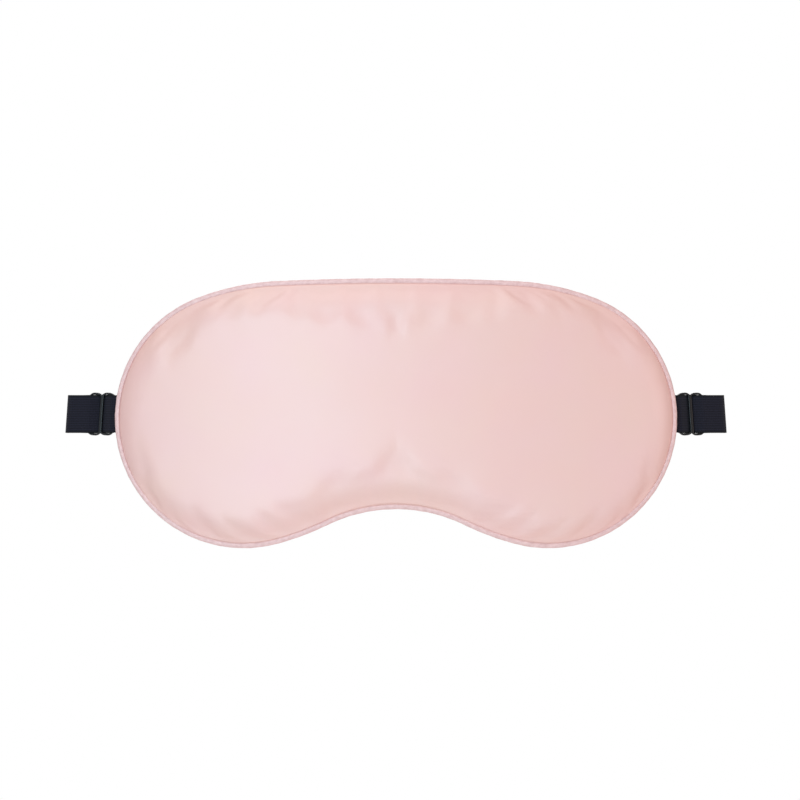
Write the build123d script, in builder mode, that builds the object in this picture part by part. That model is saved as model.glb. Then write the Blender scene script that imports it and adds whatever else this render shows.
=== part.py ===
from build123d import *
import os
from math import asin, cos, degrees, hypot, radians, sin, sqrt

# A padded satin sleep mask, bowed to the face, with an elastic head strap and two sliders.
# +X is to the viewer's right, the front faces -Y, +Z is up, and the wearer's head is on +Y.
# The origin is the middle of the back face, at the height of the strap. Millimetres.

# ---- driving dimensions ----------------------------------------------------

# Outline of the mask seen from the front: tangent arcs from the top middle round to the nose.
top_height = 51.0
top_radius = 1020.0
top_turn = 2.5
shoulder_radius = 96.4
shoulder_turn = 18.4
end_radius = 48.7
end_turn = 173.9
flank_radius = 104.0
flank_turn = 11.3

# Bow of the mask about the vertical axis, measured to the seam between its two faces.
bow_radius = 320.0
half_thickness = 4.4
edge_softness = 3.6

# Cloth, filling and piping.
cloth = 0.5
layer_gap = 0.05
piping_width = 2.2
piping_cord_width = 1.2
piping_round = 0.6
seam_allowance = 6.0
lining_thickness = 0.3
wadding_softness = 2.2
wadding_clearance = 0.9

# Elastic strap.
strap_width = 14.3
strap_thickness = 1.0
sewn_width = 12.6
weave_width = 13.6
sewn_length = 8.0
strap_clearance = 0.3
exit_reach = 104.0
fold_reach = 124.6
fold_radius = 3.0
fold_turn = 79.0
corner_radius = 60.0
corner_turn = 52.0

# Three-bar slider.
slider_reach = 111.7
slider_height = 16.2
slot_height = 14.5
slot_corner = 0.7
lobe_corner = 2.7
bar_pitch = 4.9
bar_width = 1.3
bar_round = 0.3
bar_lean = 4.0
notch_round = 0.4
strap_gap = 0.15
lead = 0.5
join_gap = 0.6

# Close zigzag stitching that holds each end of the strap in the seam.
bartack_length = 2.4
bartack_width = 10.6
bartack_thickness = 0.3

# ---- worked out from the driving dimensions --------------------------------

reach = 70.0
bow_centre = bow_radius - half_thickness
nose_turn = top_turn + shoulder_turn + end_turn + flank_turn - 180

# The strap leaves the side seam behind the piping, in line with the bow of the mask.
strap_depth = piping_width / 2 + strap_clearance + strap_thickness / 2
exit_angle = degrees(asin(exit_reach / bow_radius))
run = Vector(1, 0, 0).rotate(Axis.Z, exit_angle)
exit_point = Vector(0, bow_centre, 0) + (bow_radius - strap_depth) * Vector(
    sin(radians(exit_angle)), -cos(radians(exit_angle)), 0
)
strap_plane = Plane(origin=exit_point, x_dir=run, z_dir=(0, 0, 1))

# Distances along the strap from the point where it leaves the seam.
bar_b = (slider_reach - exit_point.X) / run.X
bar_a = bar_b - bar_pitch
bar_c = bar_b + bar_pitch
weave_start = bar_a - bar_width / 2 - lead
weave_end = bar_c + bar_width / 2 + lead
fold_swing = fold_radius * (1 - sin(radians(exit_angle)))
fold_start = (fold_reach - strap_thickness / 2 - fold_swing - exit_point.X) / run.X

# The strap bends round each bar on a circle, with straight webs from bar to bar.
wrap_radius = bar_width / 2 + strap_gap + strap_thickness / 2
wrap_angle = degrees(asin(2 * wrap_radius / bar_pitch))
web_length = sqrt(bar_pitch**2 - (2 * wrap_radius) ** 2)

# The bars lean, with their lower ends further out.
bar_up = Vector(-sin(radians(bar_lean)), 0, cos(radians(bar_lean)))
slider_normal = run.cross(bar_up).normalized()
slider_plane = Plane(
    origin=strap_plane.from_local_coords((bar_b, wrap_radius, 0)),
    x_dir=bar_up.cross(slider_normal),
    z_dir=slider_normal,
)
level_step = -bar_pitch / 2 * slider_plane.x_dir.Z / bar_up.Z

os.makedirs("parts", exist_ok=True)


def save(piece, name):
    """Label a finished piece and write it."""
    piece.label = name
    export_step(piece, f"parts/{name}.step")


def save_both(piece, name):
    """Write a piece of the right side, and its mirror image for the left side."""
    save(piece, f"right_{name}")
    with BuildPart() as other_side:
        mirror(piece, about=Plane.YZ)
    save(other_side.part, f"left_{name}")


# ---- the mask --------------------------------------------------------------


def bow_distance(edge):
    """How far the middle of an edge is from the bow's vertical axis."""
    middle = edge @ 0.5
    return hypot(middle.X, middle.Y - bow_centre)


def layer(inset, back, front, soft_face=None, softness=0.0):
    """A sheet with the mask's outline, moved in by inset, from back to front of the seam.

    The edge of soft_face, one of the two faces, is rounded by softness.
    """
    with BuildPart() as sheet:
        with BuildSketch(Plane.XZ.offset(-reach)):
            with BuildLine():
                top = JernArc((0, top_height), (1, 0), top_radius, -top_turn)
                shoulder = JernArc(top @ 1, top % 1, shoulder_radius, -shoulder_turn)
                end = JernArc(shoulder @ 1, shoulder % 1, end_radius, -end_turn)
                flank = JernArc(end @ 1, end % 1, flank_radius, -flank_turn)
                nose_radius = (flank @ 1).X / sin(radians(nose_turn))
                JernArc(flank @ 1, flank % 1, nose_radius, nose_turn)
                mirror(about=Plane.YZ)
            make_face()
            if inset > 0:
                offset(amount=-inset)
        extrude(amount=2 * reach)
        with BuildSketch(Plane.XY.offset(-reach)):
            with Locations((0, bow_centre)):
                Circle(bow_radius + front)
                Circle(bow_radius + back, mode=Mode.SUBTRACT)
        extrude(amount=2 * reach, mode=Mode.INTERSECT)
        if soft_face is not None:
            rim = bow_radius + soft_face
            fillet(
                sheet.edges().filter_by(lambda edge: abs(bow_distance(edge) - rim) < 0.01),
                softness,
            )
    return sheet.part


def ring(outer_inset, inner_inset, back, front):
    """A band that follows the outline between two insets."""
    with BuildPart() as band:
        add(layer(outer_inset, back, front))
        add(layer(inner_inset, back - 1, front + 1), mode=Mode.SUBTRACT)
    return band.part


def cover(side):
    """One satin face: a shallow tray with a turned-in seam allowance. side is 1 at the front."""
    rim = piping_width + layer_gap
    shelf = cloth / 2 + 2 * layer_gap
    if side > 0:
        shelf += lining_thickness
    low, high = sorted((side * shelf, side * half_thickness))
    inner_low, inner_high = sorted((0.0, side * (half_thickness - cloth)))
    turn_low, turn_high = sorted((side * shelf, side * (shelf + cloth)))
    with BuildPart() as face:
        add(layer(rim, low, high, side * half_thickness, edge_softness))
        add(
            layer(
                rim + cloth,
                inner_low,
                inner_high,
                side * (half_thickness - cloth),
                edge_softness - cloth,
            ),
            mode=Mode.SUBTRACT,
        )
        add(ring(rim + cloth / 2, rim + seam_allowance, turn_low, turn_high))
    return face.part


def wadding(side):
    """The filling behind one face."""
    inner = cloth / 2 + cloth + 3 * layer_gap + lining_thickness
    low, high = sorted((side * inner, side * (half_thickness - cloth - 2 * layer_gap)))
    soft_face = side * (half_thickness - cloth - 2 * layer_gap)
    inset = piping_width + layer_gap + cloth + wadding_clearance
    return layer(inset, low, high, soft_face, wadding_softness)


def with_pockets(piece, clearance):
    """Cut the room for both sewn ends of the strap, with clearance all round, out of a piece."""
    length = 2 * (sewn_length + clearance)
    thickness = strap_thickness + 2 * clearance
    with BuildPart() as room:
        with BuildSketch(strap_plane):
            Rectangle(length, thickness)
        extrude(amount=sewn_width / 2 + clearance, both=True, dir=bar_up)
    with BuildPart() as cut:
        add(piece)
        add(room.part, mode=Mode.SUBTRACT)
        add(mirror(room.part, about=Plane.YZ, mode=Mode.PRIVATE), mode=Mode.SUBTRACT)
    return cut.part


stitch_room = bartack_thickness + 3 * layer_gap

save(cover(1), "front_cover")
save(with_pockets(cover(-1), 2 * layer_gap), "back_cover")
save(wadding(1), "front_wadding")
save(with_pockets(wadding(-1), stitch_room), "back_wadding")

# The lining that stops the light, one sheet caught in the seam just behind the front face.
lining_back = cloth / 2 + layer_gap
lining_inset = piping_width + layer_gap
save(layer(lining_inset, lining_back, lining_back + lining_thickness), "blackout_lining")

# Piping round the edge: a bias strip of the same satin folded over a soft cord, with its
# two raw edges sewn between the faces.
cord_inset = (piping_width - piping_cord_width) / 2
with BuildPart() as piping_cover:
    add(ring(0, piping_width, -piping_width / 2, piping_width / 2))
    rims = [bow_radius - piping_width / 2, bow_radius + piping_width / 2]
    fillet(
        piping_cover.edges().filter_by(
            lambda edge: min(abs(bow_distance(edge) - rim) for rim in rims) < 0.01
        ),
        piping_round,
    )
    add(ring(piping_width - layer_gap, piping_width + seam_allowance, -cloth / 2, cloth / 2))
    add(
        ring(
            cord_inset - layer_gap,
            piping_width - cord_inset + layer_gap,
            -piping_cord_width / 2 - layer_gap,
            piping_cord_width / 2 + layer_gap,
        ),
        mode=Mode.SUBTRACT,
    )
save(piping_cover.part, "piping_cover")

half_cord = piping_cord_width / 2
save(ring(cord_inset, piping_width - cord_inset, -half_cord, half_cord), "piping_cord")

# ---- the sliders -----------------------------------------------------------

# Two slots side by side in a flat figure of eight, so three bars cross the strap. The bars
# lean, but both slots are level with the strap.
slots = [(-bar_pitch / 2, -level_step), (bar_pitch / 2, level_step)]
with BuildPart() as slider:
    with BuildSketch(slider_plane.offset(-bar_width / 2)) as frame:
        with Locations(slots):
            RectangleRounded(bar_pitch + bar_width, slider_height, lobe_corner)
        notches = frame.vertices().sort_by(lambda corner: abs(corner.X))[0:2]
        fillet(notches, notch_round)
        with Locations(slots):
            RectangleRounded(bar_pitch - bar_width, slot_height, slot_corner, mode=Mode.SUBTRACT)
    extrude(amount=bar_width)
    fillet(slider.edges().filter_by(slider_plane), bar_round)
save_both(slider.part, "slider")

# ---- the elastic strap -----------------------------------------------------

# One length of elastic on the real mask. It is in lengths here, because the stretch of
# each is different when a slider is moved or the strap is pulled back.


def webbing(path, width):
    """Elastic of one width that stands on edge along a level path, leaning as the bars do."""
    with BuildPart() as elastic:
        with BuildSketch(strap_plane):
            trace(path, line_width=strap_thickness)
        extrude(amount=width / 2 / bar_up.Z, both=True, dir=bar_up)
    return elastic.part


with BuildLine() as sewn_path:
    Line((-sewn_length, 0), (weave_start - layer_gap, 0))
save_both(webbing(sewn_path.line, sewn_width), "strap_end")

with BuildLine() as weave_path:
    lead_in = Line((weave_start, 0), (bar_a, 0))
    over_a = JernArc(lead_in @ 1, lead_in % 1, wrap_radius, wrap_angle)
    first_web = PolarLine(over_a @ 1, web_length, direction=over_a % 1)
    under_b = JernArc(first_web @ 1, first_web % 1, wrap_radius, -2 * wrap_angle)
    second_web = PolarLine(under_b @ 1, web_length, direction=under_b % 1)
    over_c = JernArc(second_web @ 1, second_web % 1, wrap_radius, wrap_angle)
    Line(over_c @ 1, (weave_end, 0))
save_both(webbing(weave_path.line, weave_width), "strap_weave")

with BuildLine() as side_path:
    straight = Line((weave_end + layer_gap, 0), (fold_start, 0))
    fold = JernArc(straight @ 1, straight % 1, fold_radius, fold_turn)
    corner = JernArc(fold @ 1, fold % 1, corner_radius, corner_turn)
save_both(webbing(side_path.line, strap_width), "strap_side")

# The back of the loop runs from one corner to the other, level and upright.
corner_end = strap_plane.from_local_coords(corner @ 1)
back_turn = 180 - exit_angle - fold_turn - corner_turn
back_radius = corner_end.X / sin(radians(back_turn))
back_centre = corner_end.Y - back_radius * cos(radians(back_turn))
half_back = back_turn - degrees(join_gap / back_radius)
with BuildPart() as strap_back:
    with BuildSketch():
        with BuildLine() as back_path:
            CenterArc((0, back_centre), back_radius, 90 - half_back, 2 * half_back)
        trace(back_path.line, line_width=strap_thickness)
    extrude(amount=strap_width / 2, both=True)
save(strap_back.part, "strap_back")

# ---- the bartacks ----------------------------------------------------------

# A block of close stitches across each sewn end of the strap, on the side facing the wearer.
with BuildPart() as bartack:
    with BuildSketch(strap_plane):
        with Locations((-sewn_length / 2, strap_thickness / 2 + layer_gap)):
            Rectangle(bartack_length, bartack_thickness, align=(Align.CENTER, Align.MIN))
    extrude(amount=bartack_width / 2, both=True, dir=bar_up)
save_both(bartack.part, "bartack")

print("outline height", round(layer(0, -1, 1).bounding_box().size.Z, 2))
print("loop depth behind the mask", round(strap_back.part.bounding_box().max.Y, 2))
print("room for each slider to move out", round(fold_start - weave_end, 2))
print("slider moves along", run)
sides = [sewn_path, weave_path, side_path]
strap_length = 2 * sum(edge.length for path in sides for edge in path.edges())
strap_length += sum(edge.length for edge in back_path.edges())
print("strap length", round(strap_length, 1))
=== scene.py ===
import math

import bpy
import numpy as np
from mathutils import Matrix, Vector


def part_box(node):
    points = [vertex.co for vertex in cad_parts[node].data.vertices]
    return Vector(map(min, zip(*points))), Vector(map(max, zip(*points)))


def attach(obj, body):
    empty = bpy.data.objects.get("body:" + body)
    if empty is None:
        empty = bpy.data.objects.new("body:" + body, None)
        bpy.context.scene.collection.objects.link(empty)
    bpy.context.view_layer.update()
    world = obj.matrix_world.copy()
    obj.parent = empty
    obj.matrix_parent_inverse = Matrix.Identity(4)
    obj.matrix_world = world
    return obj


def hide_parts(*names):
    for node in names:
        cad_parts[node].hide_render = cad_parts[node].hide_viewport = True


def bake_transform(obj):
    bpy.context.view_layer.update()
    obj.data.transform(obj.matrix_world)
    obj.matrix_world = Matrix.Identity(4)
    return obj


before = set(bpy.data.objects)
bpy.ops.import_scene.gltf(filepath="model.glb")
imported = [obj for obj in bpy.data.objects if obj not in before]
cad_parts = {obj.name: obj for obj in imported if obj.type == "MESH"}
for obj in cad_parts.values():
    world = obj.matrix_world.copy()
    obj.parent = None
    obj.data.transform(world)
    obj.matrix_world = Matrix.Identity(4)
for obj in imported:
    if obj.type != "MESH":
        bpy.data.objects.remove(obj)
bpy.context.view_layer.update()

# %% [markdown]
# A satin sleep mask, finished around its CAD frame. The CAD model says where every piece is
# and how it moves. This file makes what the eye sees: the swollen satin faces, the puckered
# piping, the woven elastic and the moulded sliders.

MM = 0.001

# %% [markdown]
# The camera looks straight at the front from over three metres away, through a long lens.
# From so far the strap, which lies further back than the face, keeps its true size beside
# it. The mask takes up about seven tenths of the picture's width. The camera is a little
# right of the nose and above the strap, which sets the mask slightly left and low.

# %% Camera
LENS = 400.0
SENSOR = 36.0
MASK_SHARE = 0.7025
CAMERA_RIGHT = 0.0015
CAMERA_UP = 0.0053
mask_low, mask_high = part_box("piping_cover")
mask_width = mask_high.x - mask_low.x
view_width = mask_width / MASK_SHARE
distance = view_width * LENS / SENSOR

camera_data = bpy.data.cameras.new("camera")
camera_data.lens = LENS
camera_data.sensor_width = SENSOR
camera = bpy.data.objects.new("camera", camera_data)
camera.location = (CAMERA_RIGHT, mask_high.y - distance, CAMERA_UP)
camera.rotation_euler = (math.radians(90), 0, 0)
bpy.context.scene.collection.objects.link(camera)
bpy.context.scene.camera = camera
print("camera distance, m:", round(distance, 3))

# %% [markdown]
# Light. Satin shows every change of slope, so the light is soft and large. A tall panel of
# cool daylight stands in front, a little to the left, where the left half of the bowed face
# mirrors it. There the cloth is bright and pale, and towards the right end, which turns
# away from the panel, the colour deepens. Weaker panels on the right, above and below open
# up the rim, and one more lights the back. A pale room fills in the rest. It is white to
# the camera, and dimmer and warmer to the cloth.

# %% Lights
DAYLIGHT = (0.57, 0.87, 1.0)
LAMPLIGHT = (1.0, 0.84, 0.79)
WHITE = (1.0, 1.0, 1.0)
ROOM_STRENGTH = 0.44
ROOM_TINT = (1.0, 0.93, 0.89)

# Each panel's name, place, aim, width, height, power in watts, and tint.
PANELS = (
    ("key_panel", (-0.37, -1.10, 0.04), (-0.03, 0, 0), 0.3, 0.9, 6.9, DAYLIGHT),
    ("fill_panel", (1.10, -0.30, 0.10), (0.05, 0, 0), 0.6, 0.6, 2.5, LAMPLIGHT),
    ("top_panel", (-0.2, -0.45, 0.95), (0, 0, 0), 0.8, 0.5, 3.8, WHITE),
    ("low_panel", (0.0, -0.7, -0.24), (0, 0, -0.02), 0.9, 0.25, 0.4, WHITE),
    ("back_panel", (0.0, 0.9, 0.6), (0, 0.05, 0), 0.6, 0.6, 5.0, WHITE),
)


def soft_panel(name, place, aim, width, height, power, tint):
    """A rectangular area light at place, turned to face aim."""
    lamp = bpy.data.lights.new(name, "AREA")
    lamp.shape = "RECTANGLE"
    lamp.size = width
    lamp.size_y = height
    lamp.energy = power
    lamp.color = tint
    panel = bpy.data.objects.new(name, lamp)
    panel.location = place
    panel.rotation_euler = (Vector(aim) - Vector(place)).to_track_quat("-Z", "Y").to_euler()
    bpy.context.scene.collection.objects.link(panel)


for panel_settings in PANELS:
    soft_panel(*panel_settings)

room = bpy.data.worlds.new("white_room")
room.use_nodes = True
bpy.context.scene.world = room
links = room.node_tree.links
nodes = room.node_tree.nodes
nodes.clear()
seen = nodes.new("ShaderNodeBackground")
seen.inputs["Strength"].default_value = 1.0
seen.inputs["Color"].default_value = (*WHITE, 1)
lighting = nodes.new("ShaderNodeBackground")
lighting.inputs["Strength"].default_value = ROOM_STRENGTH
lighting.inputs["Color"].default_value = (*ROOM_TINT, 1)
rays = nodes.new("ShaderNodeLightPath")
either = nodes.new("ShaderNodeMixShader")
out = nodes.new("ShaderNodeOutputWorld")
links.new(rays.outputs["Is Camera Ray"], either.inputs[0])
links.new(lighting.outputs[0], either.inputs[1])
links.new(seen.outputs[0], either.inputs[2])
links.new(either.outputs[0], out.inputs["Surface"])

bpy.context.scene.view_settings.view_transform = "Standard"
bpy.context.scene.view_settings.look = "None"
print("light panels:", len(PANELS))

# %% [markdown]
# Materials are built from Principled shaders. Four helpers do the repeated work. They turn
# the hex colours that a dyer or a painter would quote into linear light, add a node with
# its settings and its links, start a material, and make a ramp of colours.

# %% Material helpers
# The wave texture repeats every 2 pi / 20 at scale 1, so this over a pitch is its scale.
WAVE_SCALE = 2 * math.pi / 20


def colour(hex_code):
    """An sRGB hex colour as the linear RGBA that shaders use."""
    parts = [int(hex_code[i : i + 2], 16) / 255 for i in (0, 2, 4)]
    linear = [p / 12.92 if p <= 0.04045 else ((p + 0.055) / 1.055) ** 2.4 for p in parts]
    return (*linear, 1.0)


def add_node(tree, kind, settings=None, **inputs):
    """Add a node. settings are its properties; an input is a number, a colour or a socket."""
    node = tree.nodes.new(kind)
    for key, value in (settings or {}).items():
        setattr(node, key, value)
    for key, value in inputs.items():
        socket = node.inputs[int(key[1:])] if key[0] == "i" and key[1:].isdigit() else None
        socket = socket or node.inputs[key.replace("_", " ")]
        if isinstance(value, bpy.types.NodeSocket):
            tree.links.new(value, socket)
        else:
            socket.default_value = value
    return node


def new_material(name, **settings):
    """A material with a Principled shader; settings are its inputs."""
    material = bpy.data.materials.new(name)
    material.use_nodes = True
    tree = material.node_tree
    shader = tree.nodes["Principled BSDF"]
    for key, value in settings.items():
        shader.inputs[key.replace("_", " ")].default_value = value
    return material, tree, shader


def colour_steps(tree, factor, *steps):
    """A colour ramp through (place, hex colour) steps."""
    ramp = add_node(tree, "ShaderNodeValToRGB", i0=factor)
    elements = ramp.color_ramp.elements
    while len(elements) < len(steps):
        elements.new(0.5)
    for element, (place, code) in zip(elements, steps):
        element.position = place
        element.color = colour(code)
    return ramp.outputs["Color"]


# %% [markdown]
# Satin faces. Silk satin is woven so that long floats of thread lie on the surface, all
# one way. They give a soft, wide and strong highlight instead of a gloss. Silk's own index
# is about 1.54, and a shader with that index looks like plain cloth, so the index and the
# specular level are both set well above it. The real threads are about 0.05 mm
# apart, far too fine to show, so the weave here is drawn at 0.45 mm, only just visible,
# over a faint cloudiness from uneven silk. Close to the seam the cloth turns down into its
# own shade, so a stored distance to the seam paints the last few millimetres warmer and
# darker: painted shade.

# %% Satin material
PINK = "ECC0BA"
# Painted shade: the satin is painted this warmer, darker pink at the seam, and the width below is
# how far in it fades.
PINK_PAINTED_SHADE = "EBBBB3"
PAINTED_SHADE_WIDTH = 10.0
WEAVE_PITCH = 0.45


def satin_material(name, base, shade):
    """Pale satin with painted shade, warmer and darker, towards its seam."""
    material, tree, shader = new_material(
        name, Roughness=0.5, IOR=1.7, Specular_IOR_Level=0.75
    )
    place = add_node(tree, "ShaderNodeTexCoord").outputs["Object"]
    cloud = add_node(tree, "ShaderNodeTexNoise", Vector=place, Scale=38.0, Detail=3.0)
    near = add_node(tree, "ShaderNodeAttribute", {"attribute_name": "seam_distance"})
    # Painted shade: the colour runs from the shade pink at the seam to the base pink 8 mm in.
    ramp = colour_steps(tree, near.outputs["Fac"], (0.0, shade), (0.8, base), (1.0, base))
    tint = add_node(
        tree,
        "ShaderNodeMix",
        {"data_type": "RGBA", "blend_type": "SOFT_LIGHT"},
        Factor=0.10,
        i6=ramp,
        i7=cloud.outputs["Color"],
    )
    tree.links.new(tint.outputs[2], shader.inputs["Base Color"])
    weft = add_node(
        tree,
        "ShaderNodeTexWave",
        {"bands_direction": "Z"},
        Vector=place,
        Scale=WAVE_SCALE / (WEAVE_PITCH * MM),
        Distortion=1.5,
        Detail=1.0,
        Detail_Scale=2.0,
    )
    weave = add_node(
        tree, "ShaderNodeBump", Strength=0.05, Distance=0.00005, Height=weft.outputs["Fac"]
    )
    slub = add_node(
        tree,
        "ShaderNodeBump",
        Strength=0.10,
        Distance=0.0004,
        Height=cloud.outputs["Fac"],
        Normal=weave.outputs["Normal"],
    )
    tree.links.new(slub.outputs["Normal"], shader.inputs["Normal"])
    return material


satin = satin_material("silk_satin_woven_pink", PINK, PINK_PAINTED_SHADE)
print("satin made")

# %% [markdown]
# Piping satin. The same cloth, cut on the bias and folded over a cord. Cut that way its
# floats run slantwise round the cord, so its sheen is greyer and broken up. The slant is
# drawn in the piece's own UV map, which counts millimetres along and round the cord.

# %% Piping material
piping_satin, tree, shader = new_material("silk_satin_bias_cut_pink", Roughness=0.5, IOR=1.5)
along = add_node(tree, "ShaderNodeUVMap").outputs["UV"]
slant = add_node(tree, "ShaderNodeMapping", Vector=along, Rotation=(0, 0, math.radians(40)))
folds = add_node(
    tree, "ShaderNodeTexNoise", Vector=slant.outputs["Vector"], Scale=0.55, Detail=2.0
)
tones = colour_steps(tree, folds.outputs["Fac"], (0.3, "DFB6B5"), (0.7, "EDC8C7"))
tree.links.new(tones, shader.inputs["Base Color"])
crinkle = add_node(
    tree, "ShaderNodeBump", Strength=0.3, Distance=0.0003, Height=folds.outputs["Fac"]
)
tree.links.new(crinkle.outputs["Normal"], shader.inputs["Normal"])

# %% [markdown]
# Elastic webbing. Covered rubber threads run along it, and a fine cross thread binds them,
# so it shows lengthwise ribs, here 16 across its width, with a finer tick across each. Its
# two edges are painted darker: painted shade on the rounded edges. The yarn is matt nylon,
# dyed near-black with
# a little blue, and slightly fuzzy.

# %% Elastic material
RIB_PITCH = 0.9
TICK_PITCH = 0.7
STRAP_WIDTH = 14.3
# Width of the painted shade along each edge of the strap.
SHADED_EDGE_WIDTH = 0.8
elastic, tree, shader = new_material(
    "elastic_webbing_woven_black",
    Roughness=0.85,
    Sheen_Weight=0.06,
    Sheen_Roughness=0.5,
    Specular_IOR_Level=0.2,
)
along = add_node(tree, "ShaderNodeUVMap").outputs["UV"]
ribs = add_node(
    tree,
    "ShaderNodeTexWave",
    {"bands_direction": "Y"},
    Vector=along,
    Scale=WAVE_SCALE / RIB_PITCH,
)
ticks = add_node(
    tree,
    "ShaderNodeTexWave",
    {"bands_direction": "X"},
    Vector=along,
    Scale=WAVE_SCALE / TICK_PITCH,
    Distortion=0.6,
)
weave = add_node(
    tree,
    "ShaderNodeMath",
    {"operation": "MULTIPLY_ADD"},
    i0=ticks.outputs["Fac"],
    i1=0.4,
    i2=ribs.outputs["Fac"],
)
tones = colour_steps(tree, weave.outputs[0], (0.2, "11101A"), (1.0, "1B1A27"))
across = add_node(tree, "ShaderNodeSeparateXYZ", Vector=along).outputs["Y"]
from_middle = add_node(tree, "ShaderNodeMath", {"operation": "ABSOLUTE"}, i0=across)
# Painted shade: towards each edge the colour is mixed to near-black, over the last 0.8 mm.
painted_edge_shade = add_node(
    tree,
    "ShaderNodeMapRange",
    {"interpolation_type": "SMOOTHSTEP"},
    Value=from_middle.outputs[0],
    From_Min=STRAP_WIDTH / 2 - SHADED_EDGE_WIDTH,
    From_Max=STRAP_WIDTH / 2 - SHADED_EDGE_WIDTH / 3,
)
edge_shaded_colour = add_node(
    tree,
    "ShaderNodeMix",
    {"data_type": "RGBA"},
    Factor=painted_edge_shade.outputs["Result"],
    i6=tones,
    i7=colour("08080C"),
)
tree.links.new(edge_shaded_colour.outputs[2], shader.inputs["Base Color"])
relief = add_node(tree, "ShaderNodeBump", Strength=0.5, Distance=0.0001, Height=weave.outputs[0])
tree.links.new(relief.outputs["Normal"], shader.inputs["Normal"])

# %% [markdown]
# Moulded nylon. Small strap sliders are injection-moulded nylon, coloured black right
# through. The mould is smooth, so they have a soft gloss, with a faint ripple where the
# plastic cooled.

# %% Slider material
nylon, tree, shader = new_material(
    "moulded_nylon_black",
    Base_Color=colour("0C0C10"),
    Roughness=0.36,
    IOR=1.53,
    Specular_IOR_Level=0.45,
)
place = add_node(tree, "ShaderNodeTexCoord").outputs["Object"]
ripple = add_node(tree, "ShaderNodeTexNoise", Vector=place, Scale=400.0, Detail=2.0)
flow = add_node(tree, "ShaderNodeBump", Strength=0.1, Distance=0.0001, Height=ripple.outputs[0])
tree.links.new(flow.outputs["Normal"], shader.inputs["Normal"])


def refinish(material, *names):
    """Give CAD nodes a material in place of their plain one."""
    for name in names:
        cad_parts[name].data.materials.clear()
        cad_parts[name].data.materials.append(material)


refinish(nylon, "left_slider", "right_slider")

# %% [markdown]
# The pieces inside the mask never show, but they are real pieces of the finished model, so
# they get their own cloths: white fibre filling, a matt black lining, an undyed cord and
# the pink thread of the bartacks.

# %% Inner materials


def fibre_material(name, dark, light, scale, roughness, relief_height):
    """Loose or twisted fibre: a fine noise in two tones, with the same noise as its relief."""
    material, tree, shader = new_material(name, Roughness=roughness, Sheen_Weight=0.2)
    place = add_node(tree, "ShaderNodeTexCoord").outputs["Object"]
    fibres = add_node(tree, "ShaderNodeTexNoise", Vector=place, Scale=scale, Detail=6.0)
    tones = colour_steps(tree, fibres.outputs["Fac"], (0.35, dark), (0.65, light))
    tree.links.new(tones, shader.inputs["Base Color"])
    bump = add_node(
        tree, "ShaderNodeBump", Strength=0.4, Distance=relief_height, Height=fibres.outputs["Fac"]
    )
    tree.links.new(bump.outputs["Normal"], shader.inputs["Normal"])
    return material


filling = fibre_material("polyester_fibre_filling", "DEDCD8", "F6F5F3", 300.0, 0.95, 0.0005)
blackout = fibre_material("cotton_lining_blackout", "0C0C0E", "19191C", 1500.0, 0.9, 0.00005)
cotton = fibre_material("cotton_cord_undyed", "D8D2C6", "F0ECE2", 900.0, 0.9, 0.0002)
thread = fibre_material("polyester_thread_pink", "C98F8F", "E3B3B1", 1800.0, 0.6, 0.0001)
refinish(blackout, "blackout_lining")
refinish(cotton, "piping_cord")
refinish(thread, "left_bartack", "right_bartack")

# %% [markdown]
# The outline. A pattern cutter draws this mask with a few tangent arcs: a nearly flat top,
# a wide shoulder, one large round end, a flank and the nose arch. Walking along those arcs
# gives points as close together as a piece needs, and moving in from the edge only makes
# each outward arc smaller and the nose arch larger.

# %% Outline of the mask
TOP_HEIGHT = 51.0
ARCS = ((1020.0, 2.5), (96.4, 18.4), (48.7, 173.9), (104.0, 11.3))
BOW_RADIUS = 320.0
HALF_THICKNESS = 4.4
BOW_CENTRE = BOW_RADIUS - HALF_THICKNESS
PIPING_RADIUS = 1.1


def arc_points(start, heading, radius, turn, step):
    """Points and headings along an arc that turns right by turn radians, or left if negative."""
    count = max(2, round(abs(radius * turn) / step))
    side = math.copysign(radius, turn)
    centre = start + side * np.array([math.sin(heading), -math.cos(heading)])
    headings = heading - np.linspace(0, turn, count + 1)[1:]
    return centre + side * np.stack([-np.sin(headings), np.cos(headings)], 1), headings


def outline(inset=0.0, step=0.8):
    """The closed outline, clockwise from the top middle, moved in by inset. Columns x and z."""
    corners = np.array([[0.0, TOP_HEIGHT]])
    heading = 0.0
    for radius, turn in ARCS:
        run, headings = arc_points(corners[-1], heading, radius, math.radians(turn), step)
        corners, heading = run, headings[-1]
    nose_turn = sum(turn for _, turn in ARCS) - 180
    nose_radius = corners[-1][0] / math.sin(math.radians(nose_turn))

    points = np.array([[0.0, TOP_HEIGHT - inset]])
    heading = 0.0
    moved = [(radius - inset, turn) for radius, turn in ARCS]
    for radius, turn in moved + [(nose_radius + inset, -nose_turn)]:
        run, headings = arc_points(points[-1], heading, radius, math.radians(turn), step)
        points, heading = np.concatenate([points, run]), headings[-1]
    return np.concatenate([points, points[-2:0:-1] * [-1, 1]])


def evenly(points, count):
    """The same closed line as count points, evenly spaced."""
    closed = np.concatenate([points, points[:1]])
    lengths = np.concatenate([[0], np.cumsum(np.linalg.norm(np.diff(closed, axis=0), axis=1))])
    places = np.arange(count) * lengths[-1] / count
    return np.stack([np.interp(places, lengths, closed[:, k]) for k in range(2)], 1), lengths[-1]


def bow(x, out, z):
    """Bow the flat pattern to the face: out is the distance in front of the seam."""
    lean = np.arcsin(x / BOW_RADIUS)
    radius = BOW_RADIUS + out
    return np.stack([radius * np.sin(lean), BOW_CENTRE - radius * np.cos(lean), z], -1)


OUTLINE_POINTS = 800
edge, edge_length = evenly(outline(), OUTLINE_POINTS)
print("outline length, mm:", round(edge_length, 1), "height:", round(np.ptp(edge[:, 1]), 1))

# %% [markdown]
# Every piece starts as points worked out in millimetres. Three helpers turn them into
# Blender meshes: one builds the mesh, one lists the cells of a grid, and one bakes a stack
# of modifiers into its mesh.

# %% Mesh helpers


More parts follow.
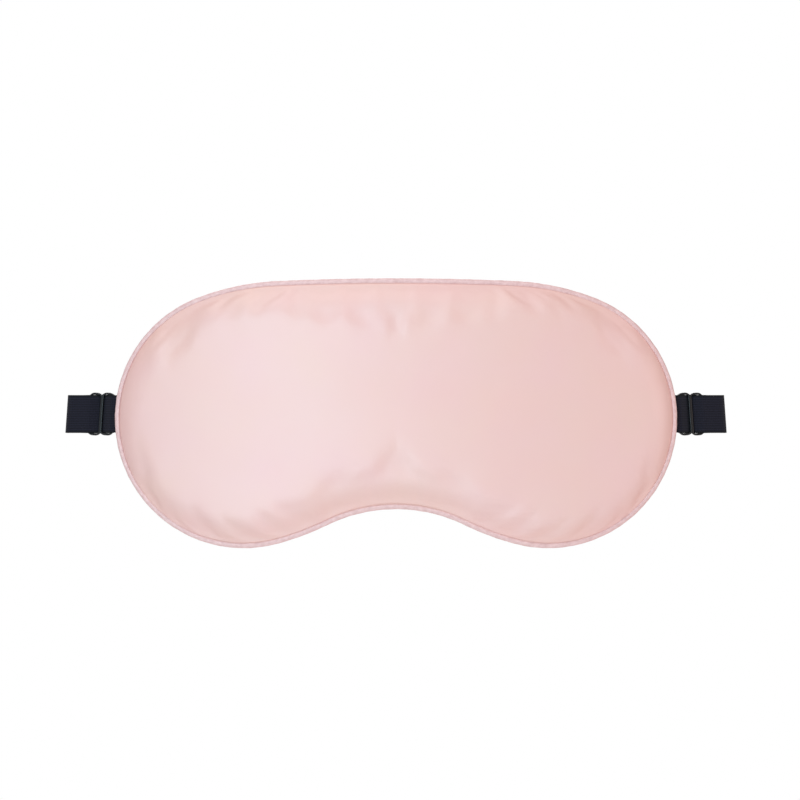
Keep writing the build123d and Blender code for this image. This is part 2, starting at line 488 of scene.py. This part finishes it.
def make_piece(name, points, faces, material, uv=None):
    """A smooth-shaded mesh object from points in millimetres. uv has one pair for each point."""
    mesh = bpy.data.meshes.new(name)
    mesh.from_pydata((np.asarray(points) * MM).tolist(), [], np.asarray(faces).tolist())
    if uv is not None:
        corners = np.array([loop.vertex_index for loop in mesh.loops])
        layer = mesh.uv_layers.new(name="UVMap")
        layer.data.foreach_set("uv", uv[corners].astype(np.float32).ravel())
    mesh.materials.append(material)
    mesh.shade_smooth()
    piece = bpy.data.objects.new(name, mesh)
    bpy.context.scene.collection.objects.link(piece)
    return piece


def quads_of(numbers):
    """Cells of a grid of vertex numbers."""
    a, b = numbers[:-1, :-1].ravel(), numbers[1:, :-1].ravel()
    c, d = numbers[1:, 1:].ravel(), numbers[:-1, 1:].ravel()
    return np.stack([a, b, c, d], 1)


def apply_stack(piece):
    """Bake a piece's modifiers into its mesh."""
    finished = piece.evaluated_get(bpy.context.evaluated_depsgraph_get())
    mesh = bpy.data.meshes.new_from_object(finished)
    piece.modifiers.clear()
    piece.data = mesh


# %% [markdown]
# The padded faces. Each face starts as a sheet of square cells squeezed into the outline:
# a rectangle of cells is rounded to a disc, and the disc is stretched until its rim meets
# the seam. The cells stay close to square all over, which cloth likes. Both faces share
# the seam, so the pair is a closed bag that can be filled.

# %% Bag of two faces
CELLS_ACROSS = 92
CELLS_UP = 46
SHEET_ASPECT = CELLS_ACROSS / CELLS_UP
SEAM_INSET = 1.8
MIDDLE_UP = 4.0


def bag_sheet(inset):
    """One face's grid, flat: x, z, and the distance to a seam at that inset."""
    across, up = np.meshgrid(
        np.linspace(-1, 1, CELLS_ACROSS + 1), np.linspace(-1, 1, CELLS_UP + 1), indexing="ij"
    )
    disc_x = across * np.sqrt(1 - up**2 / 2)
    disc_z = up * np.sqrt(1 - across**2 / 2)
    share = np.hypot(disc_x, disc_z)
    bearing = np.arctan2(disc_z, SHEET_ASPECT * disc_x)
    seam = outline(inset)
    rim = seam - [0.0, MIDDLE_UP]
    rim_bearing = np.arctan2(rim[:, 1], rim[:, 0])
    order = np.argsort(rim_bearing)
    far = np.hypot(*rim.T)[order]
    reach = np.interp(bearing, rim_bearing[order], far, period=2 * math.pi)
    x = (share * reach * np.cos(bearing)).ravel()
    z = (share * reach * np.sin(bearing)).ravel() + MIDDLE_UP
    gap = np.array([np.hypot(*(seam - point).T).min() for point in np.stack([x, z], 1)])
    gap[rim_of_grid] = 0
    return x, z, gap


grid = np.arange((CELLS_ACROSS + 1) * (CELLS_UP + 1)).reshape(CELLS_ACROSS + 1, CELLS_UP + 1)
rim_mask = np.ones_like(grid, bool)
rim_mask[1:-1, 1:-1] = False
rim_of_grid = rim_mask.ravel()
inside = ~rim_of_grid
other_grid = grid.size + np.cumsum(inside).reshape(grid.shape) - 1
other_grid[rim_mask] = grid[rim_mask]
bag_faces = np.concatenate([quads_of(grid), quads_of(other_grid)[:, ::-1]])
sheet_x, sheet_z, seam_gap = bag_sheet(SEAM_INSET)
print("cells in the bag:", len(bag_faces), "widest from seam:", round(seam_gap.max(), 1))

# %% [markdown]
# The filling. A bag of cloth sewn flat and then stuffed has too much cloth at its rim, and
# gathers there in small puckers, which is what tells the eye that it is sewn and soft. The
# start shape is a low pillow, rounded off at the rim and slightly domed, and a short cloth
# simulation with air pressure moves it while the seam is held still. It is worked at five
# times its size, because the solver is steadier on larger cells. Left alone, it would move
# the cloth by nearly 10 mm, so each move is eased until no point ends more than 0.9 mm from
# the pillow. The pillow gives the face its shape, and the simulation makes it uneven.

# %% Fill the bag
SWELL = 4.4
ROLL_OFF = 10.0
EDGE_FULLNESS = 0.9
CROWN = 0.9
CROWN_HALF_WIDTH = 110.0
CROWN_HALF_HEIGHT = 52.0
SIM_SCALE = 5.0
SIM_FRAMES = 20
MOST_MOVE = 0.9


def pillow_height(gap, x, z):
    """How far a point of the start shape stands out, from its place and distance to the seam."""
    rise = np.sin(np.clip(gap / ROLL_OFF, 0, 1) * math.pi / 2) ** EDGE_FULLNESS
    dome = (1 - (x / CROWN_HALF_WIDTH) ** 2) * (1 - ((z - MIDDLE_UP) / CROWN_HALF_HEIGHT) ** 2)
    return (SWELL + CROWN * dome) * rise


def simulate_filling(start, faces, held):
    """Where the points of a closed bag go when it is filled, with the held points still."""
    mesh = bpy.data.meshes.new("bag")
    mesh.from_pydata((start * MM * SIM_SCALE).tolist(), [], faces.tolist())
    bag = bpy.data.objects.new("bag", mesh)
    bpy.context.scene.collection.objects.link(bag)
    seam = bag.vertex_groups.new(name="seam")
    seam.add(np.flatnonzero(held).tolist(), 1.0, "REPLACE")
    cloth = bag.modifiers.new("filling", "CLOTH")
    cloth.settings.quality = 6
    cloth.settings.mass = 0.2
    cloth.settings.tension_stiffness = 12
    cloth.settings.compression_stiffness = 12
    cloth.settings.bending_stiffness = 0.15
    cloth.settings.shrink_min = -0.035
    cloth.settings.use_pressure = True
    cloth.settings.uniform_pressure_force = 1.2
    cloth.settings.vertex_group_mass = "seam"
    cloth.settings.effector_weights.gravity = 0
    scene = bpy.context.scene
    for number in range(1, SIM_FRAMES + 1):
        scene.frame_set(number)
    filled = bag.evaluated_get(bpy.context.evaluated_depsgraph_get())
    ends = np.empty(len(mesh.vertices) * 3)
    filled.data.vertices.foreach_get("co", ends)
    scene.frame_set(1)
    bpy.data.objects.remove(bag)
    return ends.reshape(-1, 3) / MM / SIM_SCALE


height = pillow_height(seam_gap, sheet_x, sheet_z)
near_side = np.stack([sheet_x, -height, sheet_z], 1)
far_side = np.stack([sheet_x, height, sheet_z], 1)[inside]
bag_points = np.concatenate([near_side, far_side])
held = np.concatenate([rim_of_grid, np.zeros(inside.sum(), bool)])
moved = simulate_filling(bag_points, bag_faces, held) - bag_points
far = np.linalg.norm(moved, axis=1, keepdims=True)
print("filling moved the cloth by up to, mm:", round(float(far.max()), 2))
bag_points = bag_points + moved / np.sqrt(1 + (far / MOST_MOVE) ** 2)

# %% [markdown]
# Now each face becomes a piece of its own. The seam's stitches pull the cloth down every
# few millimetres, so small puckers run in from the edge and fade, deeper along the top,
# where the cloth was eased round the curve. The rim starts a little way up the piping and
# rises from there, so the face lies clear of the lining. The face is bowed, given a
# subdivision and the thickness of the cloth, and the distance to the seam is stored for
# the painted shade in its material.

# %% Front and back faces
SEAM_POINTS = 1200
PUCKER_DEPTH = 0.16
PUCKER_START = 1.2
PUCKER_FADE = 5.0
TOP_EXTRA = 0.8
SEAM_LIFT = 0.85
LIFT_SLOPE = 0.25
LIFT_REACH = 4.0
CLOTH = 0.4
seam_line, seam_length = evenly(outline(SEAM_INSET), SEAM_POINTS)
by_point = [np.hypot(*(seam_line - point).T).argmin() for point in np.stack([sheet_x, sheet_z], 1)]
along_seam = np.array(by_point) / len(seam_line)


def puckers(seed):
    """A small rise and fall along the seam that fades away from it."""
    random = np.random.default_rng(seed)
    waves = np.zeros_like(along_seam)
    for pitch, strength in ((5.3, 0.5), (7.9, 0.9), (12.7, 0.7)):
        turns = round(seam_length / pitch)
        waves += strength * np.sin(2 * math.pi * (turns * along_seam + random.uniform()))
    patches = 0.6 + 0.4 * np.sin(2 * math.pi * (3 * along_seam + random.uniform()))
    top = 1 + TOP_EXTRA * np.clip(sheet_z / TOP_HEIGHT, 0, 1)
    fade = np.clip(seam_gap / PUCKER_START, 0, 1) * np.exp(-seam_gap / PUCKER_FADE)
    return PUCKER_DEPTH * waves * patches * top * fade


def satin_face(name, node, points, side, seed):
    """One face from its flat, filled points. side is 1 in front and -1 behind."""
    lowest = SEAM_LIFT + LIFT_SLOPE * np.minimum(seam_gap, LIFT_REACH)
    out = side * np.maximum(puckers(seed) - side * points[:, 1], lowest)
    faces = quads_of(grid)[:, ::side]
    piece = make_piece(name, bow(points[:, 0], out, points[:, 2]), faces, satin)
    # The stored distance sets where the painted shade lies on the satin.
    store = piece.data.attributes.new("seam_distance", "FLOAT", "POINT")
    store.data.foreach_set("value", np.clip(seam_gap / PAINTED_SHADE_WIDTH, 0, 1).astype(np.float32))
    finer = piece.modifiers.new("finer", "SUBSURF")
    finer.levels = finer.render_levels = 1
    thick = piece.modifiers.new("cloth", "SOLIDIFY")
    thick.thickness = CLOTH * MM
    thick.offset = -1
    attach(piece, "mask")
    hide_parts(node)


front_points = bag_points[: grid.size]
back_points = front_points.copy()
back_points[inside] = bag_points[grid.size :]
satin_face("front_cover_satin", "front_cover", front_points, 1, 3)
satin_face("back_cover_satin", "back_cover", back_points, -1, 8)
print("faces made, seam length, mm:", round(seam_length, 1))

# %% [markdown]
# Behind each face lies a layer of loose fibre, cut smaller than the cloth and softer at its
# edge. Each layer is a bag of its own: one side follows the face from a little way inside,
# and the other lies flat, just clear of the lining in the middle.

# %% Wadding
FILLING_INSET = 3.6
FILLING_START = 1.0
FILLING_ROUND = 3.0
FACE_CLEARANCE = 1.2
fill_x, fill_z, fill_gap = bag_sheet(FILLING_INSET)


def wadding_layer(name, node, side):
    """A closed layer of fibre inside one face."""
    under = pillow_height(fill_gap + FILLING_INSET - SEAM_INSET, fill_x, fill_z) - FACE_CLEARANCE
    edge_rise = np.sqrt(np.clip(fill_gap / FILLING_ROUND, 0, 1))
    outer = FILLING_START + (under - FILLING_START) * edge_rise
    flat = np.full(inside.sum(), FILLING_START)
    x = np.concatenate([fill_x, fill_x[inside]])
    z = np.concatenate([fill_z, fill_z[inside]])
    points = bow(x, side * np.concatenate([outer, flat]), z)
    piece = make_piece(name, points, bag_faces[:, ::side], filling)
    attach(piece, "mask")
    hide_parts(node)


wadding_layer("front_fibre_filling", "front_wadding", 1)
wadding_layer("back_fibre_filling", "back_wadding", -1)
print("filling made, inset, mm:", FILLING_INSET)

# %% [markdown]
# Piping is a cord in a folded strip of satin, sewn in with its raw edges between the
# faces. A curve with a round bevel runs along the bowed outline. Its radius breathes a
# little between stitches, because the strip is held at each one and free between them. As
# a mesh it keeps the curve's own UV map, which is stretched here to count millimetres.

# %% Piping
PIPING_POINTS = 420


def piping_tube(name):
    """The piping as a closed mesh tube."""
    centre, length = evenly(outline(PIPING_RADIUS), PIPING_POINTS)
    place = np.arange(PIPING_POINTS) / PIPING_POINTS
    random = np.random.default_rng(5)
    breath = np.ones(PIPING_POINTS)
    for pitch, strength in ((3.7, 0.03), (6.1, 0.03), (11.0, 0.02)):
        turns = round(length / pitch)
        breath += strength * np.sin(2 * math.pi * (turns * place + random.uniform()))
    line = bpy.data.curves.new(name, "CURVE")
    line.dimensions = "3D"
    line.bevel_depth = PIPING_RADIUS * MM
    line.bevel_resolution = 3
    line.resolution_u = 2
    spline = line.splines.new("NURBS")
    spline.points.add(PIPING_POINTS - 1)
    places = np.ones((PIPING_POINTS, 4))
    places[:, :3] = bow(centre[:, 0], 0.0 * place, centre[:, 1]) * MM
    spline.points.foreach_set("co", places.ravel())
    spline.points.foreach_set("radius", breath)
    spline.order_u = 4
    spline.use_cyclic_u = True
    route = bpy.data.objects.new(name + "_route", line)
    bpy.context.scene.collection.objects.link(route)
    bpy.context.view_layer.update()
    mesh = bpy.data.meshes.new_from_object(route)
    bpy.data.objects.remove(route)
    uv = np.empty(2 * len(mesh.loops), np.float32)
    mesh.uv_layers[0].data.foreach_get("uv", uv)
    size = [length, 2 * math.pi * PIPING_RADIUS]
    mesh.uv_layers[0].data.foreach_set("uv", (uv.reshape(-1, 2) * size).ravel())
    mesh.materials.clear()
    mesh.materials.append(piping_satin)
    mesh.shade_smooth()
    tube = bpy.data.objects.new(name, mesh)
    bpy.context.scene.collection.objects.link(tube)
    return tube, length


piping, piping_length = piping_tube("piping_satin")
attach(piping, "mask")
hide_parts("piping_cover")
print("piping length, mm:", round(piping_length, 1))

# %% [markdown]
# The elastic strap is webbing, a flat strip on edge. Its path is the one that a finger
# traces seen from above: out of the side seam, over, under and over the three bars, a
# short straight run, a tight fold, and round the back of the head. It is made of straight
# runs and tangent arcs, as elastic takes under light tension.

# %% Strap path
STRAP_THICKNESS = 1.0
EXIT_REACH = 104.0
STRAP_DEPTH = 1.9
SLIDER_REACH = 111.7
BAR_PITCH = 4.9
WRAP_RADIUS = 1.3
FOLD_REACH = 124.6
FOLD_RADIUS = 3.0
FOLD_TURN = math.radians(79.0)
CORNER_RADIUS = 60.0
CORNER_TURN = math.radians(52.0)
BAR_LEAN = math.radians(4.0)

exit_angle = math.asin(EXIT_REACH / BOW_RADIUS)
exit_radius = BOW_RADIUS - STRAP_DEPTH
exit_point = np.array(
    [exit_radius * math.sin(exit_angle), BOW_CENTRE - exit_radius * math.cos(exit_angle)]
)
ahead = np.array([math.cos(exit_angle), math.sin(exit_angle)])
bar_b = (SLIDER_REACH - exit_point[0]) / ahead[0]
wrap = math.asin(2 * WRAP_RADIUS / BAR_PITCH)
web = math.sqrt(BAR_PITCH**2 - (2 * WRAP_RADIUS) ** 2)
fold_swing = FOLD_RADIUS * (1 - math.sin(exit_angle))
fold_start = (FOLD_REACH - STRAP_THICKNESS / 2 - fold_swing - exit_point[0]) / ahead[0]


def walk(start, heading, moves, step):
    """Follow straight runs (length,) and arcs (radius, left turn), seen from above.

    Returns the points, the last heading, and the distance to each point.
    """
    points = [np.array(start, float)]
    for move in moves:
        if len(move) == 1:
            count = max(1, round(move[0] / step))
            forward = np.array([math.cos(heading), math.sin(heading)])
            shares = np.arange(1, count + 1)[:, None] / count
            points.extend(points[-1] + shares * forward * move[0])
        else:
            run, headings = arc_points(points[-1], heading, move[0], -move[1], step)
            points.extend(run)
            heading = headings[-1]
    points = np.array(points)
    gaps = np.linalg.norm(np.diff(points, axis=0), axis=1)
    return points, heading, np.concatenate([[0], np.cumsum(gaps)])


# %% [markdown]
# The ribbon. A row of points across the strap is set down at each step of the path. It
# leans with the bars at the sides and comes upright behind the head. Solidify gives it the
# thickness of the elastic, and a bevel rounds its edges. Its UV map counts millimetres
# along and across, which is what the weave follows.

# %% Strap ribbon
RIBBON_COLUMNS = 7
EDGE_ROUND = 0.42


def webbing(name, points, distance, widths, side=1):
    """A rounded strip of elastic along a path from above. side is -1 for the left one."""
    columns = np.linspace(-0.5, 0.5, RIBBON_COLUMNS)
    z = np.broadcast_to(widths, distance.shape)[:, None] * columns
    lean = np.tan(BAR_LEAN * np.clip(points[:, :1] / FOLD_REACH, -1, 1))
    x = side * (points[:, :1] - z * lean)
    y = np.broadcast_to(points[:, 1:], z.shape)
    numbers = np.arange(z.size).reshape(z.shape)
    uv = np.stack(np.broadcast_arrays(distance[:, None], z), -1).reshape(-1, 2)
    ribbon = np.stack([x, y, z], -1).reshape(-1, 3)
    piece = make_piece(name, ribbon, quads_of(numbers)[:, ::side], elastic, uv)
    thick = piece.modifiers.new("thickness", "SOLIDIFY")
    thick.thickness = STRAP_THICKNESS * MM
    thick.offset = 0
    thick.use_even_offset = True
    rounded = piece.modifiers.new("rounded_edges", "BEVEL")
    rounded.width = EDGE_ROUND * MM
    rounded.segments = 3
    rounded.angle_limit = math.radians(50)
    apply_stack(piece)
    return piece


# %% [markdown]
# The strap is one length of elastic, cut here where its lengths move differently: under
# the middle bar and just behind the fold, where the cuts don't show. Its sewn ends are a
# little narrower. In a slider it is pressed flat over the bars and spreads until it fills
# the slots.

# %% Strap pieces
SEWN = 8.0
SEWN_WIDTH = 12.6
HIDDEN_JOIN = 1.5
SPREAD = 0.14
SPREAD_FADE = 3.0

corner_left = CORNER_TURN - HIDDEN_JOIN / CORNER_RADIUS
back_turn = math.pi - exit_angle - FOLD_TURN - CORNER_TURN
inner_moves = [(SEWN + bar_b - BAR_PITCH,), (WRAP_RADIUS, wrap), (web,), (WRAP_RADIUS, -wrap)]
outer_moves = [
    (WRAP_RADIUS, -wrap),
    (web,),
    (WRAP_RADIUS, wrap),
    (fold_start - bar_b - BAR_PITCH,),
    (FOLD_RADIUS, FOLD_TURN),
    (CORNER_RADIUS, HIDDEN_JOIN / CORNER_RADIUS),
]
seam_end = exit_point - ahead * SEWN
inner_points, inner_heading, inner_distance = walk(
    seam_end, exit_angle, inner_moves, step=0.2
)
outer_points, outer_heading, outer_distance = walk(
    inner_points[-1], inner_heading, outer_moves, step=0.25
)
corner_points, _, _ = walk(
    outer_points[-1], outer_heading, [(CORNER_RADIUS, corner_left)], step=1.0
)
back_radius = corner_points[-1][0] / math.sin(back_turn)
loop_moves = [
    (CORNER_RADIUS, corner_left),
    (back_radius, 2 * back_turn),
    (CORNER_RADIUS, corner_left),
]
loop_points, _, loop_distance = walk(outer_points[-1], outer_heading, loop_moves, step=0.9)

opened = np.clip((inner_distance - SEWN) / (bar_b - BAR_PITCH), 0, 1)
opened = opened * opened * (3 - 2 * opened)
inner_widths = SEWN_WIDTH + (STRAP_WIDTH + SPREAD - SEWN_WIDTH) * opened
held_flat = np.clip(1 - (outer_distance - BAR_PITCH) / SPREAD_FADE, 0, 1)
outer_widths = STRAP_WIDTH + SPREAD * held_flat
strap_length = 2 * (inner_distance[-1] + outer_distance[-1]) + loop_distance[-1]
print("strap length, mm:", round(strap_length, 1), "of it sewn in:", 2 * SEWN)


for side_name, side in (("right", 1), ("left", -1)):
    inner = webbing(f"{side_name}_strap_inner", inner_points, inner_distance, inner_widths, side)
    outer = webbing(f"{side_name}_strap_outer", outer_points, outer_distance, outer_widths, side)
    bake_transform(inner)
    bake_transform(outer)
    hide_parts(f"{side_name}_strap_end", f"{side_name}_strap_weave")
    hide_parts(f"{side_name}_strap_side")

loop = webbing("strap_loop", loop_points, loop_distance, STRAP_WIDTH)
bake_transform(loop)
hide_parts("strap_back")

# %% [markdown]
# The floor is a pale plain sheet well below the mask. It is out of the front view, which
# sees only the white room behind the mask.

# %% Floor
FLOOR_DROP = 0.30
FLOOR_HALF = 0.6
floor_corners = [
    (x * FLOOR_HALF, y * FLOOR_HALF, -FLOOR_DROP) for x, y in ((-1, -1), (1, -1), (1, 1), (-1, 1))
]
floor_mesh = bpy.data.meshes.new("floor")
floor_mesh.from_pydata(floor_corners, [], [(0, 1, 2, 3)])
floor = bpy.data.objects.new("floor", floor_mesh)
bpy.context.scene.collection.objects.link(floor)
board, _, _ = new_material("matt_white_board", Base_Color=colour("F4F3F1"), Roughness=0.9)
floor_mesh.materials.append(board)
